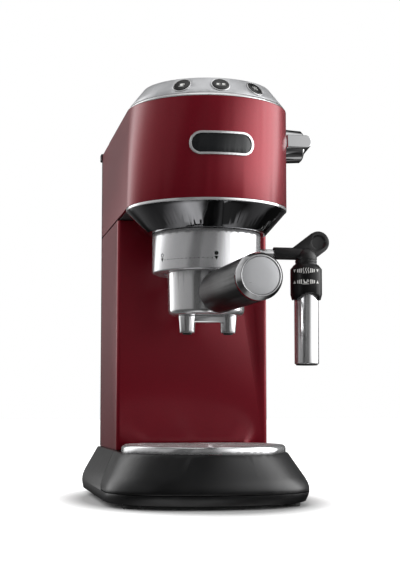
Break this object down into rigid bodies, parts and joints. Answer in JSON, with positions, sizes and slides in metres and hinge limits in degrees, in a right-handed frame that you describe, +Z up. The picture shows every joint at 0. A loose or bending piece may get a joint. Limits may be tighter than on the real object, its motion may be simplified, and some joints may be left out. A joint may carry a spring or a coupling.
{
  "type": "espresso machine",
  "caption": "Slim pump espresso machine with a locking portafilter, a swinging steam wand, a pull-out drip tray and a lift-out rear water tank.",
  "frame": {"origin": "on the table, midway between the four feet; the front face of the column stands on the plane y = 0 and x = 0 is the middle of the machine", "axes": "+X to the right of someone standing at the front, +Y towards the back where the tank is, +Z up"},
  "size_m": [0.1785, 0.3414, 0.3052],
  "materials": {
    "red_paint": "metallic dark red lacquer",
    "base_black": "satin black moulding",
    "foot_rubber": "black rubber",
    "steel": "plain steel",
    "bright_steel": "polished pressed steel",
    "float_red": "gloss red moulding",
    "grey_plastic": "grey moulding",
    "black_chrome": "dark mirror plating",
    "satin_steel": "satin turned steel",
    "cast_aluminium": "cast",
    "seal_rubber": "black rubber",
    "chrome": "polished chrome",
    "handle_black": "satin black moulding",
    "satin_silver": "satin silver",
    "bright_trim": "polished trim",
    "button_black": "gloss black",
    "board_green": "circuit board",
    "badge_black": "gloss black, blank",
    "brass": "machined brass",
    "wand_rubber": "satin black silicone",
    "tank_smoke": "smoky translucent moulding",
    "pump_grey": "grey moulding with a wound coil",
    "tube_white": "milky fluoropolymer tube"
  },
  "bodies": {
    "machine": {"base_housing": "base_black", "bottom_plate": "base_black", "feet": "foot_rubber", "housing_screws": "steel", "switch_frame": "base_black", "cord_gland": "base_black", "column_shell": "red_paint", "head_shell": "red_paint", "head_floor": "grey_plastic", "inner_frame": "grey_plastic", "group_cone": "black_chrome", "group_collar": "satin_steel", "group_head": "cast_aluminium", "group_seal": "seal_rubber", "shower_screen": "steel", "shower_screw": "steel", "panel_trim": "bright_trim", "control_panel": "satin_silver", "button_bezels": "bright_trim", "switch_board": "board_green", "tact_switches": "button_black", "cup_plate": "steel", "badge_rim": "bright_trim", "badge_plate": "badge_black", "steam_valve": "brass", "steam_pipe": "steel", "wand_bush": "base_black", "tank_seat": "seal_rubber", "pump": "pump_grey", "pump_mounts": "seal_rubber", "pump_bracket": "steel", "suction_tube": "tube_white", "pressure_tube": "tube_white", "thermoblock": "cast_aluminium", "thermostats": "grey_plastic", "power_board": "board_green"},
    "rocker": {"rocker_switch": "button_black"},
    "tray": {"drip_tray": "base_black"},
    "grid": {"cup_grid": "bright_steel"},
    "float": {"tray_float": "float_red"},
    "portafilter": {"portafilter_body": "chrome", "filter_basket": "steel", "double_spout": "chrome", "handle": "handle_black", "handle_cap": "satin_silver"},
    "left_button": {"left_button": "button_black"},
    "middle_button": {"middle_button": "button_black"},
    "right_button": {"right_button": "button_black"},
    "knob": {"steam_knob": "chrome", "valve_spindle": "steel"},
    "wand": {"wand_pipe": "chrome", "wand_grip": "wand_rubber", "frother_core": "grey_plastic"},
    "selector": {"selector_ring": "handle_black"},
    "sleeve": {"frother_sleeve": "chrome"},
    "tank": {"water_tank": "tank_smoke", "tank_floor": "tank_smoke", "tank_valve": "base_black"},
    "lid": {"tank_lid": "base_black"}
  },
  "joints": [
    {"name": "left_button_press", "type": "slide", "parent": "machine", "child": "left_button", "axis": [0.3972, 0.677, -0.6196], "range_m": [0, 0.001], "stiffness_N_per_m": 1500, "springref_m": -0.0006},
    {"name": "middle_button_press", "type": "slide", "parent": "machine", "child": "middle_button", "axis": [0, 0.7849, -0.6196], "range_m": [0, 0.001], "stiffness_N_per_m": 1500, "springref_m": -0.0006},
    {"name": "right_button_press", "type": "slide", "parent": "machine", "child": "right_button", "axis": [-0.3972, 0.677, -0.6196], "range_m": [0, 0.001], "stiffness_N_per_m": 1500, "springref_m": -0.0006},
    {"name": "steam_knob_turn", "type": "hinge", "parent": "machine", "child": "knob", "pos_m": [0.0605, -0.042, 0.2694], "axis": [1, 0, 0], "range_deg": [0, 180]},
    {"name": "wand_swing", "type": "hinge", "parent": "machine", "child": "wand", "pos_m": [0.04, -0.005, 0.1893], "axis": [0, -1, 0], "range_deg": [0, 40]},
    {"name": "selector_slide", "type": "slide", "parent": "wand", "child": "selector", "axis": [0, 0, 1], "range_m": [0, 0.003]},
    {"name": "sleeve_pull", "type": "slide", "parent": "selector", "child": "sleeve", "axis": [0, 0, -1], "range_m": [0, 0.06]},
    {"name": "portafilter_turn", "type": "hinge", "parent": "machine", "child": "portafilter", "pos_m": [0, -0.055, 0.175], "axis": [0, 0, 1], "range_deg": [-60, 0]},
    {"name": "tray_slide", "type": "slide", "parent": "machine", "child": "tray", "axis": [0, -1, 0], "range_m": [0, 0.11]},
    {"name": "grid_lift", "type": "slide", "parent": "tray", "child": "grid", "axis": [0, 0, 1], "range_m": [0, 0.025]},
    {"name": "float_rise", "type": "slide", "parent": "tray", "child": "float", "axis": [0, 0, 1], "range_m": [0, 0.006]},
    {"name": "tank_lift", "type": "slide", "parent": "machine", "child": "tank", "axis": [0, 0, 1], "range_m": [0, 0.235]},
    {"name": "lid_turn", "type": "hinge", "parent": "tank", "child": "lid", "pos_m": [0, 0.1242, 0.2869], "axis": [-1, 0, 0], "range_deg": [0, 95]},
    {"name": "rocker_tilt", "type": "hinge", "parent": "machine", "child": "rocker", "pos_m": [0.034, 0.1215, 0.024], "axis": [1, 0, 0], "range_deg": [-16, 0]}
  ]
}
